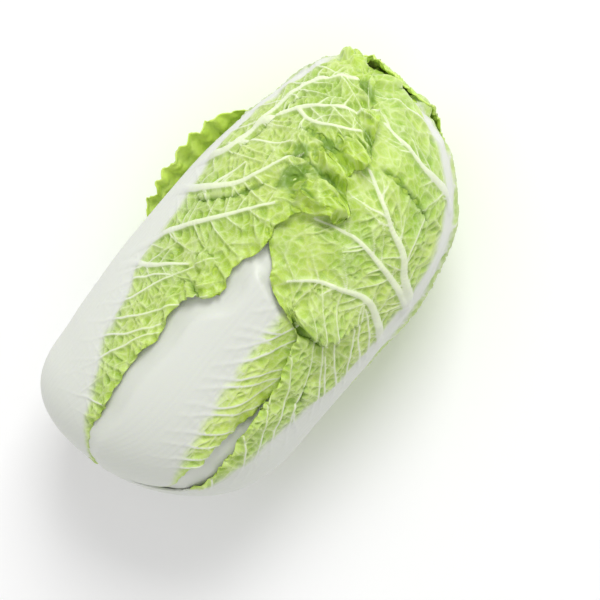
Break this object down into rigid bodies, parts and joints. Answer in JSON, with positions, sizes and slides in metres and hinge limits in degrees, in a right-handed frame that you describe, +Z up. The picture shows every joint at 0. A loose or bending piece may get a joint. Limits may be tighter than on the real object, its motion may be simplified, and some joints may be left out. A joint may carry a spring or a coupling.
{
  "type": "napa cabbage",
  "caption": "Whole napa cabbage head lying on its side: a barrel of overlapping, veined green leaves with broad white ribs, wrapped round a short cut stem.",
  "frame": {"origin": "middle of the bounding box at the underside that the head lies on", "axes": "+X along the head towards the leaf tips, +Z up, +Y to the side that the loose back leaf margin shows on"},
  "size_m": [0.299, 0.1766, 0.1564],
  "materials": {
    "outer_leaf": "satin, waxy green leaf with white ribs and veins",
    "inner_leaf": "satin, pale yellow-green leaf",
    "heart_leaf": "satin, yellow leaf",
    "cut_stem": "matt, cut plant tissue"
  },
  "bodies": {
    "root": {"stem_core": "cut_stem", "back_wrapper_leaf": "outer_leaf", "left_wrapper_leaf": "outer_leaf", "right_wrapper_leaf": "outer_leaf", "front_wrapper_leaf": "outer_leaf", "right_under_leaf": "outer_leaf", "left_under_leaf": "outer_leaf", "inner_leaf_07": "inner_leaf", "inner_leaf_08": "inner_leaf", "inner_leaf_09": "inner_leaf", "inner_leaf_10": "inner_leaf", "inner_leaf_11": "inner_leaf", "inner_leaf_12": "inner_leaf", "inner_leaf_13": "inner_leaf", "inner_leaf_14": "inner_leaf", "inner_leaf_15": "inner_leaf", "inner_leaf_16": "inner_leaf", "heart_leaf_17": "heart_leaf", "heart_leaf_18": "heart_leaf", "heart_leaf_19": "heart_leaf", "heart_leaf_20": "heart_leaf"}
  },
  "joints": []
}
